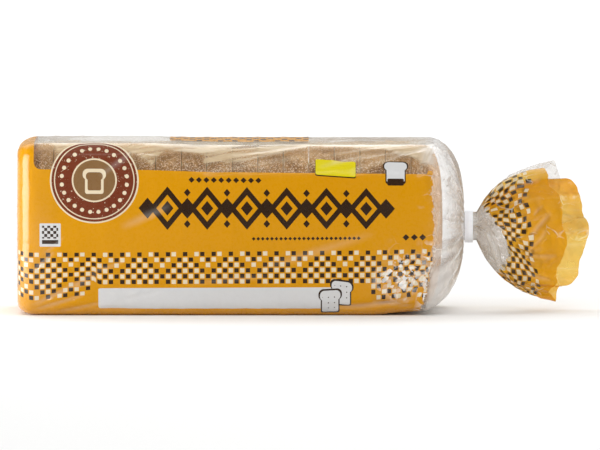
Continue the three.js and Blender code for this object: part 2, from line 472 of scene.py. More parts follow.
# Print places along the front's window. Below them the film clings to the crust and is clear.
# Above them it stands off and is milky.
CLING_EDGE = np.array([
    (0, 99), (19, 98), (22, 91), (40, 92), (58, 93), (68, 90), (76.4, 83.5), (77.6, 88), (84, 94),
    (98, 93.5), (103.4, 92.5), (104.6, 85), (112, 86), (127, 88), (137, 92), (148, 94), (165, 101),
    (182, 100), (200, 97.5), (215, 95), (224, 88), (236, 84), (262, 60),
])


HALF_GIRTH = 193.84  # millimetres, half the way round the film as loaf_section measures it
TURNED = 240  # the back's print runs the other way: its lengths are this less the front's
NOWHERE = -1000.0  # the height of places that are on the other side

# Creases that the handling left over parts of the film: the seed of their places, how many there
# are, the corners of where they lie, along and round from the top, their length and their width
SCATTERED = {
    "soft": (11, 90, (0, -HALF_GIRTH), (235, HALF_GIRTH), 26, 3.2),
    "tied end": (5, 420, (226, -HALF_GIRTH), (300, HALF_GIRTH), 12, 1.5),
    "mouth": (8, 130, (302, -HALF_GIRTH), (358, HALF_GIRTH), 16, 3.2),
    "corner": (9, 60, (196, -148), (236, -106), 9, 1.3),
    "closed end": (23, 120, (-60, -HALF_GIRTH), (8, HALF_GIRTH), 18, 1.8),
    # the facets raise nothing: they only place painted glints
    "glint_facets": (31, 26, (200, -146), (238, -104), 6, 2.6),
}


def standing_off(u, place):
    """How far the film stands off the bread, from 0 where it clings to 1, on one side of the top."""
    edge = np.interp(u, *CLING_EDGE.T)
    off = smooth(place - edge, -0.7, 1.5) * (1 - 0.75 * smooth(place, 106, 122))
    return off * (1 - smooth(u, 232, 240)) * smooth(u, 3, 9)


def fold_height(u, v, start, end, width):
    """A fold of height 1: a sharp ridge along a line, fading at both ends."""
    line = np.subtract(end, start)
    length = np.hypot(*line)
    line = line / length
    along = ((u - start[0]) * line[0] + (v - start[1]) * line[1]) / length
    across = np.abs((v - start[1]) * line[0] - (u - start[0]) * line[1]) / width
    taper = np.sin(math.pi * np.clip(along, 0, 1)) ** 0.6
    return taper * np.clip(1 - across, 0, 1) ** 1.4


def fold_rise(u, v, folds):
    """The height of a list of folds together."""
    return sum(rise * fold_height(u, v, start, end, width) for start, end, width, rise in folds)


def turned(folds):
    """The same folds for the back, whose print is the front's turned round."""
    return [
        ((TURNED - start[0], start[1]), (TURNED - end[0], end[1]), width, rise)
        for start, end, width, rise in folds
    ]


def crumple(u, v, seed, count, low, high, length, width):
    """Many short straight creases of the handled film, scattered between two print places."""
    random = np.random.default_rng(seed)
    total = np.zeros_like(u)
    for _ in range(count):
        start = random.uniform(low, high)
        heading = random.uniform(0, math.pi)
        reach = length * random.uniform(0.5, 1.3)
        end = start + reach * np.array([math.cos(heading), math.sin(heading)])
        height = random.choice([-0.6, 1.0]) * random.uniform(0.4, 1.0)
        total += height * fold_height(u, v, start, end, width * random.uniform(0.6, 1.4))
    return total


def neck_pleats(share):
    """The pleats of the gathered film in millimetres: sharp waves of three sizes, round the bag."""
    return sum(
        rise * (0.5 - np.abs(np.sin(lobes * math.pi * share + swing * np.sin(TURN * share * 3 + lobes))))
        for lobes, rise, swing in ((22, 1.5, 1.2), (37, 0.8, 1.6), (61, 0.35, 0.8))
    )


def film_wrinkles(bag, tail, bread, length, share, points):
    """The wrinkles' height in millimetres, how creased the film is, with its painted highlights and
    glints, and how far off the bread.
    """
    zones = film_zones(bag) / MM
    u = (length - bag.end_rounding * (QUARTER - 1)) / MM
    around = (share - 0.5) * 2 * HALF_GIRTH
    wall = height_on_wall(bag, around)
    place = np.where(around < 0, wall, NOWHERE)
    back_place = np.where(around >= 0, wall, NOWHERE)
    out = (length / MM - zones[5]) * 0.87
    tail_round = tail_print_round(bag, tail, share, 0 * out)
    creases = {name: crumple(u, around, *scatter) for name, scatter in SCATTERED.items()}

    folds = fold_rise(u, place, WINDOW_FOLDS + FRONT_FOLDS)
    folds = folds + 0.8 * fold_rise(u, back_place, turned(WINDOW_FOLDS + FRONT_FOLDS))
    folds = folds * (u < 300) + fold_rise(out, tail_round, TAIL_FOLDS) * (out > 0)
    off = np.where(around < 0, standing_off(u, place), 0.7 * standing_off(TURNED - u, back_place))

    body = 1 - smooth(u, 236, 262) + (out > 0)
    crushed = smooth(u, 226, 244) * (1 - smooth(u, 354, 361))
    crushed_corner = np.exp(-(((u - 217) / 15) ** 2) - ((place - 19) / 13) ** 2)
    crushed = np.maximum(crushed, crushed_corner)
    sharp = creases["tied end"] + 0.7 * creases["mouth"] + 1.7 * crushed_corner * creases["corner"]

    pleats = neck_pleats(share)
    gathered = (length / MM - zones[3]) / (zones[4] - zones[3])
    gather = np.sin(math.pi * np.clip(gathered, 0, 1)) * smooth(gathered, 0.03, 0.5)
    slices_on = (u * MM - bread.start) / bread.pitch
    ribs = -0.16 * np.abs(np.cos(math.pi * slices_on)) ** 12

    mitre = np.abs(np.abs(points[..., 1]) - np.abs(points[..., 2] - HEIGHT / 2) - 3 * MM) / MM
    flap = np.where(length < 0, np.clip(1 - mitre / 1.6, 0, 1) * 0.9, 0)
    flap = flap * smooth(-length / MM, 2, 10)

    rise = body * (folds + 0.3 * creases["soft"] + ribs) + 0.8 * crushed * sharp * (1 - 0.4 * gather)
    rise = rise + 0.85 * pleats * gather + 0.35 * creases["closed end"] * (u < 8) + flap

    # How creased the film is: haze along folds, bands and pleats, with painted highlights along the folds
    # and haze bands and painted glints on the crushed corner's facets
    crease_haze_and_glints = fold_rise(u, place, HAZE_AND_HIGHLIGHT_BANDS) + 0.42 * np.abs(folds) * body + 0.4 * np.abs(sharp) * crushed
    crease_haze_and_glints = crease_haze_and_glints + 0.7 * gather * np.clip(pleats - 0.35, 0, 1)
    low_down = 1 - smooth(wall - 9 * pleats, 20, 48)
    crease_haze_and_glints = crease_haze_and_glints + 0.9 * smooth(u, 230, 238) * (1 - smooth(u, 262, 276)) * low_down
    glint_facets = np.clip(creases["glint_facets"] - 0.3, 0, 0.6)
    return rise, np.clip(crease_haze_and_glints + 5.5 * crushed_corner * glint_facets, 0, 2.6), off


def height_on_wall(bag, around):
    """The height of a place on the walls, by millimetres round from the middle of the top."""
    return HALF_GIRTH - (bag.half_depth - bag.base_corner * (2 - QUARTER)) / MM - np.abs(around)


# The film's UV map: u is length along the film and v the way round, both in print millimetres.
U_START, U_SPAN = -60, 430
U_AT_END = -6.85  # print length at the rim of the closed end
V_SPAN = 400
BASE_TO_TOP = 144.7  # print millimetres from the foot of the wall to the middle of the top
PACK_LENGTH = 250  # from the closed end to the tie
TAIL_PRINT = 300  # print length at the start of the tail
CLEAR_HALF = 62.7  # print millimetres from the middle of the top down to the panel's ink
CLEAR_STRIP = (0.485, 0.6)  # shares of the way round where the tail is clear, just behind its top
GIRTH_AT = 25  # millimetres out from the neck where the tail's print is true to its girth

# How far out from the neck the tail's ink begins, in millimetres, by height from -1 to 1
INK_START = np.array([
    (-1, 12), (-0.85, 14.6), (-0.65, 17.4), (-0.41, 19), (-0.12, 15), (0.17, 10), (0.5, 6.2), (1, 3),
])


def film_print_places(bag, tail, length, share):
    """Print places along and round the film, and how far inside the tail's ink a place lies.

    The film was pulled unevenly: the front's print is squeezed a little towards the tie, and the
    tail's checks lie closer together where they are gathered.
    """
    zones = film_zones(bag)
    u = (length - bag.end_rounding * (QUARTER - 1)) / MM
    v = (share - 0.5) * 2 * HALF_GIRTH
    z = height_on_wall(bag, v)
    pull = np.clip((np.where(v < 0, u, PACK_LENGTH - u) - 43) / 180, 0, 1.1) * (length < zones[3])
    squeeze = pull * np.maximum(-0.045 * z, 0.086 * (z - 35.7) - 1.6) * (z > 0)
    folded = 5.3 * np.clip((u - 10) / 33, 0, 1) * (1 - smooth(u, 42, 46)) * np.clip(1 - z / 36, 0, 1)
    squeeze = squeeze - folded * (v < 0) * (z > 0) * (u > 0)
    v = v + np.where(v < 0, 1, -1) * squeeze
    crush = np.exp(-(((u - 223) / 11) ** 2) - ((z - 20) / 12) ** 2) * (v < 0)
    u = u + crush * (0.6 * np.sin(0.85 * z + 0.3 * u) + 0.45 * np.sin(0.6 * u - 1.1 * z))
    v = v + crush * (0.6 * np.sin(0.75 * u - 0.4 * z) + 0.4 * np.sin(1.1 * u + 0.5 * z))

    points = film_points(bag, tail, length, share) / MM
    y, high = points[..., 1], points[..., 2] - HEIGHT / 2 / MM
    side = np.abs(y) / bag.half_depth > np.abs(high) / (HEIGHT / 2)
    end_u = np.where(side, np.abs(y) - bag.half_depth / MM, np.abs(high) - HEIGHT / 2 / MM)
    level = np.where(high > 0, np.abs(y), HALF_GIRTH - np.abs(y))
    level = np.where(side, BASE_TO_TOP - points[..., 2], level)
    end = length < 0
    u = np.where(end, end_u + U_AT_END, u)
    v = np.where(end, np.sign(share - 0.5) * level, v)

    turn = TURN * share
    up = -np.cos(turn)
    progress = np.clip((length - zones[5]) / (zones[6] - zones[5]), 0, 1)
    out = progress * mouth_distance(bag, tail, turn) / MM
    starts = np.interp(up, *INK_START.T)
    ends = 31.5 - 3.5 * up + 0.8 * np.sin(3 * turn)
    crowding = 1.12 - 0.22 * up
    tail_u = TAIL_PRINT + CHECK_DEPTH + (out - ends) * crowding
    tail_u = tail_u + 0.9 * np.sin(7 * turn + out / 5) + 0.6 * np.sin(11 * turn - out / 3)
    inside = out - starts + 0.8 * np.sin(16 * turn) + 0.6 * np.sin(27 * turn + 1)
    v = np.where(length > zones[4], tail_print_round(bag, tail, share, out), v)
    past = length > zones[5] - 0.5 * MM
    return np.where(past, tail_u, np.minimum(u, TAIL_PRINT - 12)), v, inside


def tail_print_round(bag, tail, share, out):
    """Print millimetres round the tail, with its clear strip as wide as the panel's window."""
    clear_start, clear_end = CLEAR_STRIP
    shares = np.linspace(0, 1, 721)
    turn = TURN * shares
    progress = GIRTH_AT * MM / mouth_distance(bag, tail, turn)
    places = np.stack(tail_points(bag, tail, progress, turn))
    steps = np.linalg.norm(np.diff(places, axis=1), axis=0) / MM
    arc = np.concatenate([[0], np.cumsum(steps)])
    place, start, end = (np.interp(at, shares, arc) for at in (share, clear_start, clear_end))
    strip = (2 * share - clear_start - clear_end) / (clear_end - clear_start) * CLEAR_HALF
    around = np.where(share > clear_end, place - end + CLEAR_HALF, strip)
    around = np.where(share < clear_start, place - start - CLEAR_HALF, around)
    return around + 1.1 * np.sin(out / 4 + 5 * TURN * share)


# Meshes


def add_piece(bm, name, materials, body="root"):
    """Makes a finished piece of a bmesh, in place, and lets it ride on its body."""
    mesh = bpy.data.meshes.new(name)
    bm.to_mesh(mesh)
    bm.free()
    for material in materials:
        mesh.materials.append(material)
    mesh.shade_smooth()
    piece = bpy.data.objects.new(name, mesh)
    bpy.context.scene.collection.objects.link(piece)
    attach(piece, body)
    return piece


def grid_shares(bm, rows, columns):
    """Each vertex's place in a new unit grid, as shares along and across it."""
    places = np.array([vert.co[:2] for vert in bm.verts]) + 0.5
    return np.rint(places[:, 0] * rows).astype(int), np.rint(places[:, 1] * columns).astype(int)


# Materials


NOISE = "ShaderNodeTexNoise"
CELLS = "ShaderNodeTexVoronoi"
VECTORS = "ShaderNodeVectorMath"
MULTIPLY_ADD = {"operation": "MULTIPLY_ADD"}
COORDINATES = "ShaderNodeTexCoord"
BUMP = "ShaderNodeBump"
PRINCIPLED = "ShaderNodeBsdfPrincipled"
OUTPUT = "ShaderNodeOutputMaterial"
MIX = "ShaderNodeMix"  # with the next line's setting, it lays colour B over A where its factor is 1
COLOURS = {"data_type": "RGBA"}


def add_node(tree, kind, settings=None, inputs=None, output=0):
    """Adds a node with its settings, sets or links its inputs by name or number, and gives an output.

    A name counts only for an input that the settings leave in use.
    """
    node = tree.nodes.new(kind)
    for name, value in (settings or {}).items():
        setattr(node, name, value)
    usable = {socket.name: socket for socket in list(node.inputs)[::-1] if socket.enabled}
    for name, value in (inputs or {}).items():
        socket = node.inputs[name] if isinstance(name, int) else usable[name]
        if isinstance(value, Field):
            tree.links.new(value.socket, socket)
        else:
            socket.default_value = value
    outputs = [socket for socket in node.outputs if socket.enabled]
    return Field(tree, outputs[output]) if outputs else None


class Field:
    """What a node gives all over a surface: a number, a colour or a place.

    Arithmetic on fields of numbers becomes Math nodes, in which true is 1 and false is 0.
    """

    def __init__(self, tree, socket):
        self.tree = tree
        self.socket = socket

    def math(self, operation, *others):
        inputs = dict(enumerate((self, *others)))
        return add_node(self.tree, "ShaderNodeMath", {"operation": operation}, inputs)

    def __add__(self, other):
        return self.math("ADD", other)

    def __radd__(self, other):
        return self.math("ADD", other)

    def __sub__(self, other):
        return self.math("SUBTRACT", other)

    def __rsub__(self, other):
        return self.math("MULTIPLY_ADD", -1.0, other)

    def __mul__(self, other):
        return self.math("MULTIPLY", other)

    def __truediv__(self, other):
        return self.math("DIVIDE", other)

    def __mod__(self, other):
        return self.math("FLOORED_MODULO", other)

    def __abs__(self):
        return self.math("ABSOLUTE")

    def __lt__(self, other):
        return self.math("LESS_THAN", other)

    def __gt__(self, other):
        return self.math("GREATER_THAN", other)

    def __and__(self, other):
        return self.math("MULTIPLY", other)

    def __or__(self, other):
        return self.at_least(other)

    def floor(self):
        return self.math("FLOOR")

    def at_least(self, low):
        return self.math("MAXIMUM", low)

    def at_most(self, high):
        return self.math("MINIMUM", high)

    def between(self, low, high):
        return (self > low) & (self < high)


def new_material(name):
    """A material that has no nodes yet, and its tree."""
    material = bpy.data.materials.new(name)
    material.use_nodes = True
    tree = material.node_tree
    tree.nodes.clear()
    return material, tree


# The print

CHECK_PITCH = 3.19
CHECK_SIDE = 2.45
CHECK_LEFT = 12.65  # how far the pattern is shifted along the panel
CHECK_TOP = 35.7
CHECK_ROWS = 9
CHECK_SQUEEZE = 1.045  # how much lower than wide the panel's squares are
CHECK_DEPTH = CHECK_ROWS * CHECK_PITCH
ZIGZAG = 8  # columns in one repeat


def check_fields(across, down, rows):
    """Stepped triangles of small squares: fields that are 1 on dark and on pale squares."""
    column = (across / CHECK_PITCH).floor()
    row = (down / CHECK_PITCH).floor()
    depth = 5 - abs((row % CHECK_ROWS) - 4)
    cell = column % ZIGZAG
    rising = abs((cell + 3) % ZIGZAG - 4) < depth - 0.5
    from_gap = abs(cell - 5)
    hanging = (from_gap < 3.5 - depth) & ((from_gap + depth) > 1.5)
    parity = (column + row) % 2
    dark = (rising & parity) | (hanging & (1 - parity))
    pale = (rising & (1 - parity)) | (hanging & parity)
    in_square = abs(across % CHECK_PITCH - CHECK_PITCH / 2) < CHECK_SIDE / 2
    in_square = in_square & (abs(down % CHECK_PITCH - CHECK_PITCH / 2) < CHECK_SIDE / 2)
    in_rows = (row > -0.5) & (row < rows - 0.5)
    return dark & in_square & in_rows, pale & in_square & in_rows


def rounded_box(x, z, centre, half, radius):
    """A field that is 1 inside a rounded rectangle."""
    dx = (abs(x - centre[0]) - (half[0] - radius)).at_least(0.0)
    dz = (abs(z - centre[1]) - (half[1] - radius)).at_least(0.0)
    return (dx * dx + dz * dz) < radius**2


def slice_icon(x, z, centre, width):
    """A field that is 1 inside the outline of a plain slice of bread."""
    middle, height = centre
    low, high = height - 0.12 * width, height + 0.3 * width
    body = rounded_box(x, z, (middle, low), (0.4 * width, 0.42 * width), 0.1 * width)
    crown = rounded_box(x, z, (middle, high), (0.5 * width, 0.24 * width), 0.22 * width)
    return body | crown


def lozenge(x, z, half_width, half_height):
    """How far out a place is in a lozenge round the origin: 0 in its middle and 1 on its edge."""
    return abs(x) / half_width + abs(z) / half_height


def white_box(x, z, inks):
    """The long white box, with two slices of bread drawn over its end."""
    layers = [(inks.white, rounded_box(x, z, (111, 9.6), (65.5, 5.9), 1.3))]
    for centre, lean in (((181.5, 12.4), 0.12), ((175, 7.6), -0.05)):
        upright = z + (x - centre[0]) * lean
        pores = lozenge((x + 1.1) % 3.4 - 1.7, (upright + 0.4) % 3 - 1.5, 0.42, 0.42) < 1
        layers += [
            (inks.brown, slice_icon(x, upright, centre, 13.2)),
            (inks.white, slice_icon(x, upright, centre, 11.4)),
            (inks.brown, pores & slice_icon(x, upright, centre, 8.6)),
        ]
    return layers


def check_box(x, z, inks):
    """The small white box, with fine checks over a bar."""
    pips = ((x / 1.7).floor() + (z / 1.7).floor()) % 2
    inner = rounded_box(x, z, (18.6, 46.9), (4.5, 3.6), 0.2)
    bar = rounded_box(x, z, (18.6, 41.4), (4.5, 1.1), 0.2)
    white = rounded_box(x, z, (18.6, 45.3), (5.9, 6.5), 0.6)
    return [(inks.white, white), (inks.brown, (inner & pips) | bar)]


CHAIN = (73.0, 206.2)  # where the chain of lozenges begins and ends
CHAIN_REPEAT = 22.2
CHAIN_HEIGHT = 60.4

# Rows of small lozenges: where they begin and end, their height and their pitch
SMALL_ROWS = ((95.5, 137, 76.8, 4.15), (131, 192.2, 42.7, 2.55), (215, 229, 43, 4.66))


def lozenges(x, z, inks):
    """The chain of large lozenges with its beads, and the rows of small ones."""
    step = (x - CHAIN[0]) % CHAIN_REPEAT - CHAIN_REPEAT / 2
    link = (x - CHAIN[0] + CHAIN_REPEAT / 2) % CHAIN_REPEAT - CHAIN_REPEAT / 2
    big = lozenge(step, z - CHAIN_HEIGHT, 10.0, 12.4)
    small = lozenge(link, z - CHAIN_HEIGHT, 5.0, 6.0)
    beads = lozenge(link, abs(z - CHAIN_HEIGHT) - 9.0, 1.9, 2.3)
    marks = [
        (((big < 1) & (big > 0.62)) | (big < 0.34)) & x.between(*CHAIN),
        (small < 1) & x.between(CHAIN[0] - 5.2, CHAIN[1] + 5.2),
        (beads < 1) & x.between(CHAIN[0] + 5, CHAIN[1] - 5),
    ]
    for low, high, height, pitch in SMALL_ROWS:
        row = lozenge((x - low) % pitch - pitch / 2, z - height, 0.42 * pitch, 0.44 * pitch) < 1
        marks.append(row & x.between(low, high))
    return [(inks.brown, mark) for mark in marks]


ROUNDEL = (43.3, 75.9)
ROUNDEL_DOTS = 24


def roundel(x, z, inks, worn):
    """A ring with dots, round a disc with a slice of bread. Worn is 1 on specks with no russet."""
    across = x - ROUNDEL[0]
    up = z - ROUNDEL[1]
    distance = (across * across + up * up * 1.03**2).math("SQRT")
    angle = up.math("ARCTAN2", across)
    swing = abs((angle * (ROUNDEL_DOTS / TURN)) % 1 - 0.5) * 4.7
    from_dots = distance - 18.3
    centre = (ROUNDEL[0], ROUNDEL[1] - 0.6)
    return [
        (inks.cream, distance < 24.8),
        (inks.russet, (distance < 23.9) & (1 - worn)),
        (inks.cream, (swing * swing + from_dots * from_dots) < 1.3),
        (inks.cream, abs(distance - 22.2) < 0.3),
        (inks.cream, distance < 12.6),
        (inks.tan, distance < 11.7),
        (inks.cream, slice_icon(x, z, centre, 13)),
        (inks.tan, slice_icon(x, z, centre, 9.4)),
    ]


def tags(x, z, inks):
    """The lemon tag and the white one like a slice of bread, at the top of the panel."""
    tilted = z + (x - 178) * 0.07
    return [
        (inks.brown, rounded_box(x, tilted, (178, 85.0), (11.4, 5.6), 1.2)),
        (inks.lemon, rounded_box(x, tilted, (178, 85.5), (11.2, 5.3), 1.2)),
        (inks.brown, slice_icon(x, z, (211.5, 83), 14.2)),
        (inks.white, slice_icon(x, z, (211.5, 83.2), 12.6)),
        (inks.brown, rounded_box(x, z, (211.5, 76.6), (4.6, 2.2), 0.8)),
    ]


def print_layers(x, z, inks, worn):
    """The panel's print from the ground up: pairs of ink and the field where it lies."""
    dark, pale = check_fields(x - CHECK_LEFT, (CHECK_TOP - z) * CHECK_SQUEEZE, CHECK_ROWS)
    banded = (z > CHECK_TOP - 6 * CHECK_PITCH / CHECK_SQUEEZE) | (x < 41) | (x > 197.5)
    layers = [(inks.brown, dark & banded), (inks.cream, pale & banded)]
    layers += white_box(x, z, inks) + check_box(x, z, inks) + lozenges(x, z, inks)
    return layers + roundel(x, z, inks, worn) + tags(x, z, inks)


# The size of the film's speckles and clouds in millimetres, and their noise's detail and roughness
FILM_GRAINS = {
    "ragged": (5, 4.0, 0.65),
    "serrated": (1.3, 2.0, 0.5),
    "rubbed": (1.5, 3.0, 0.7),
    "banks": (16, 1.0, 0.5),
    "cloud": (11, 3.0, 0.6),
    "fine": (2.0, 4.0, 0.6),
    "swells": (34, 2.0, 0.5),
}
PANEL_END = 234.5  # print length of the panel's ragged right edge
WINDOW_START = 9.5  # print length where the clear window begins
WINDOW_CORNER = 4
FAR = 400  # past the end of anything printed
TOP_PATCH = (85, 163)  # print lengths of the ends of the patterned patch on the top
TOP_PATCH_PEAK = 124
TOP_PATCH_FRONT = -27  # how far towards the front the patch comes, from the middle of the top


def film_fields(tree):
    """Where a place lies in the print, what the film's mesh says of it, and grains of several sizes."""
    uv = add_node(tree, "ShaderNodeUVMap", {"uv_map": "film"})
    split = add_node(tree, "ShaderNodeSeparateXYZ", inputs={0: uv}).socket.node
    film = SimpleNamespace(place=add_node(tree, COORDINATES, output=3))
    film.u = Field(tree, split.outputs[0]) * U_SPAN + U_START
    film.v = (Field(tree, split.outputs[1]) - 0.5) * V_SPAN
    film.z = BASE_TO_TOP - abs(film.v)
    for name in ("crease", "slack", "tail_ink", "off_bread", "plies", "taut"):
        setattr(film, name, add_node(tree, "ShaderNodeAttribute", {"attribute_name": name}, output=2))
    for name, (span, detail, roughness) in FILM_GRAINS.items():
        inputs = {"Vector": film.place, "Scale": 1 / (span * MM), "Detail": detail, "Roughness": roughness}
        setattr(film, name, add_node(tree, NOISE, inputs=inputs))
    return film


def ink_film(tree, inks, film):
    """Gives the colour of the printed film, and notes on it where it is opaque and where it is bare."""
    u, v, z = film.u, film.v, film.z
    from_top = abs(v)
    x = u + (v > 0) * (TURNED - u * 2)
    bow = (z - 45) / 42
    edge = (film.ragged - 0.5) * 11 + (film.serrated - 0.5) * 3.5 + PANEL_END - bow * bow * 3
    film.on_panel = u < edge
    corner = (WINDOW_START + FAR, BASE_TO_TOP - CLEAR_HALF + FAR)
    in_window = rounded_box(u, z, corner, (FAR, FAR), WINDOW_CORNER)
    front_of_patch = abs(u - TOP_PATCH_PEAK) * 0.08 + TOP_PATCH_FRONT + (film.ragged - 0.5) * 6
    on_patch = (v > front_of_patch) & (from_top < CLEAR_HALF) & u.between(*TOP_PATCH)
    on_tail = (u > TAIL_PRINT - 3) & (film.tail_ink > 0) & (from_top > CLEAR_HALF)
    opaque = (film.on_panel & (1 - (in_window & (1 - on_patch)))) | on_tail

    film.layered = ((u - 258) / 24).at_least(0.0).at_most(1.0)
    film.layered = film.layered * ((330 - u) / 16).at_least(0.5).at_most(1.0)
    bare = add_node(tree, MIX, COLOURS, {"A": inks.haze[:], "B": inks.crumpled[:], "Factor": film.slack})
    bare = add_node(tree, MIX, COLOURS, {"A": bare, "B": inks.gathered[:], "Factor": film.layered})
    ground = add_node(tree, MIX, COLOURS, {"A": bare, "B": inks.yellow[:], "Factor": opaque})
    for ink, where in print_layers(x, z, inks, film.rubbed > 0.66):
        where = where & film.on_panel
        ground = add_node(tree, MIX, COLOURS, {"A": ground, "B": ink[:], "Factor": where})
        opaque = opaque | where
    inner = add_node(tree, "ShaderNodeNewGeometry", output=6) & opaque
    inner = inner * ((film.banks - 0.38) * 4).at_most(0.9)
    ground = add_node(tree, MIX, COLOURS, {"A": ground, "B": inks.inner[:], "Factor": inner})
    for across, down, rows, where in (
        (u / 1.25, (v - front_of_patch) / 2.2, 40, on_patch),
        (v, u - TAIL_PRINT, CHECK_ROWS, on_tail),
    ):
        dark, pale = check_fields(across, down, rows)
        ground = add_node(tree, MIX, COLOURS, {"A": ground, "B": inks.brown[:], "Factor": dark & where})
        pale = pale & where & on_tail
        ground = add_node(tree, MIX, COLOURS, {"A": ground, "B": inks.cream[:], "Factor": pale})
    film.opaque = opaque
    film.on_tail = on_tail
    film.bare_tail = on_tail & (1 - (dark | pale))  # the loop's last squares are the tail's
    return ground


def wrinkle_film(tree, film):
    """Notes on the film how its surface rises, where its ridges are, painted white as highlight
    lines, and where its facets get painted glints.
    """
    wander, bent = (
        add_node(tree, NOISE, inputs={"Vector": film.place, "Scale": 1 / (span * MM)}, output=1)
        for span in (18.18, 33.33)
    )
    wander = add_node(tree, VECTORS, MULTIPLY_ADD, {0: wander, 1: (0.014,) * 3, 2: film.place})
    bent = add_node(tree, VECTORS, MULTIPLY_ADD, {0: bent, 1: (0.03,) * 3, 2: film.place})
    bent = add_node(tree, VECTORS, {"operation": "MULTIPLY"}, {0: bent, 1: (0.6, 1.0, 0.8)})
    large, small, glint_facets = (
        add_node(tree, CELLS, inputs={"Vector": wander, "Scale": 1 / (span * MM)}, output=output)
        for span, output in ((17, 0), (6.5, 0), (2.5, 1))
    )
    to_edge = {"feature": "DISTANCE_TO_EDGE"}
    # Ridge lines along the creases: they raise the bump and are painted white as highlight lines, partly
    # the whitening of stressed film
    ridge = add_node(tree, CELLS, to_edge, {"Vector": bent, "Scale": 1 / (9 * MM)})
    ridge = (1 - ridge * 30).at_least(0.0) * ((film.cloud - 0.52) * 9).at_least(0.0)
    film.ridge = (ridge * film.slack).at_most(1.0)

    # Painted glints: white flashes painted on the crumpled print's facets, low on the panel where it is
    # slack
    facing = add_node(tree, "ShaderNodeSeparateColor", inputs={0: glint_facets})
    flash = ((facing - 0.62) * 6).at_least(0.0).at_most(1.0) * film.on_panel * (film.u > 0)
    low_down = ((42 - film.z) / 6).at_least(0.0).at_most(1.0)
    film.flash = flash * ((film.slack - 0.25) * 1.9).at_least(0.0) * low_down
    rise = (large * 2.6 + small) * (film.slack * 1.15 + 0.08)
    film.height = rise + film.fine * 0.09 + film.swells * 3.0 + film.ridge * 0.3


def film_solidity(tree, film):
    """How much of the light the film stops: its haze where it is bare, and its ink's cover."""
    grazing = add_node(tree, "ShaderNodeLayerWeight", inputs={"Blend": 0.5}, output=1)
    cloudy = ((film.cloud - 0.5) * 2.6).at_least(0.0)
    slanted = {0: film.u / 24, 1: (film.z - film.u * 0.2) / 3.4}
    slanted = add_node(tree, "ShaderNodeCombineXYZ", inputs=slanted)
    streaks = add_node(tree, NOISE, inputs={"Vector": slanted, "Scale": 1.0, "Detail": 3.0})
    hazy = film.off_bread * ((streaks - 0.33) * 3).at_least(0.14).at_most(0.6)
    milky = grazing * grazing * 0.5 + film.crease * 0.5 + cloudy * 0.25 + film.slack * 0.1
    milky = milky + film.ridge * 0.5 + hazy + film.layered * 0.3 + 0.04
    milky = milky.at_most(0.9)
    cover = 0.96 - film.bare_tail * (0.44 - film.plies * 0.30 - (film.banks - 0.5) * 0.6)
    return milky + film.opaque * (cover - milky)


def printed_film(inks):
    """Polythene film, blown clear and printed with opaque inks. Bare, it shows what is behind it
    under a milky haze, with sharp highlights on its creases; inked, it is nearly solid, and paler
    on its inner side. Light that passes the tail's thin ink turns amber. White is painted into its
    colour along ridges, folds and haze bands, partly the whitening of stressed film and partly
    painted highlights, and painted glints flash on the crumpled print's facets."""
    material, tree = new_material("blown_polythene_film_printed")
    film = film_fields(tree)
    ground = ink_film(tree, inks, film)
    wrinkle_film(tree, film)
    # White painted into the colour: partly the whitening of stressed creases, partly painted highlights
    # along ridges, folds and haze bands, and painted glints on facets
    whitening_and_painted_glints = (film.ridge * 0.55 + film.crease * 0.3 + film.flash).at_most(0.85)
    white = {"A": ground, "B": (0.95, 0.94, 0.92, 1.0), "Factor": whitening_and_painted_glints}
    ground = add_node(tree, MIX, COLOURS, white)
    bump = {"Strength": 1.0, "Distance": 1.0 * MM, "Height": film.height}
    plastic = {
        "Base Color": ground,
        "Roughness": film.fine * 0.16 + 0.2,
        "IOR": 1.5,
        "Specular IOR Level": 0.1,
        "Coat Weight": 1 - film.opaque * (0.88 - film.slack * 0.16 - film.taut * 0.7),
        "Coat Roughness": 0.12,
        "Coat IOR": 1.6,
        "Normal": add_node(tree, BUMP, inputs=bump),
    }
    plastic = add_node(tree, PRINCIPLED, inputs=plastic)
    stain = {"A": (1.0, 1.0, 1.0, 1.0), "B": (1.0, 0.76, 0.2, 1.0), "Factor": film.on_tail}
    stain = add_node(tree, MIX, COLOURS, stain)
    clear = add_node(tree, "ShaderNodeBsdfTransparent", inputs={"Color": stain})
    layers = {0: film_solidity(tree, film), 1: clear, 2: plastic}
    add_node(tree, OUTPUT, inputs={"Surface": add_node(tree, "ShaderNodeMixShader", inputs=layers)})
    return material


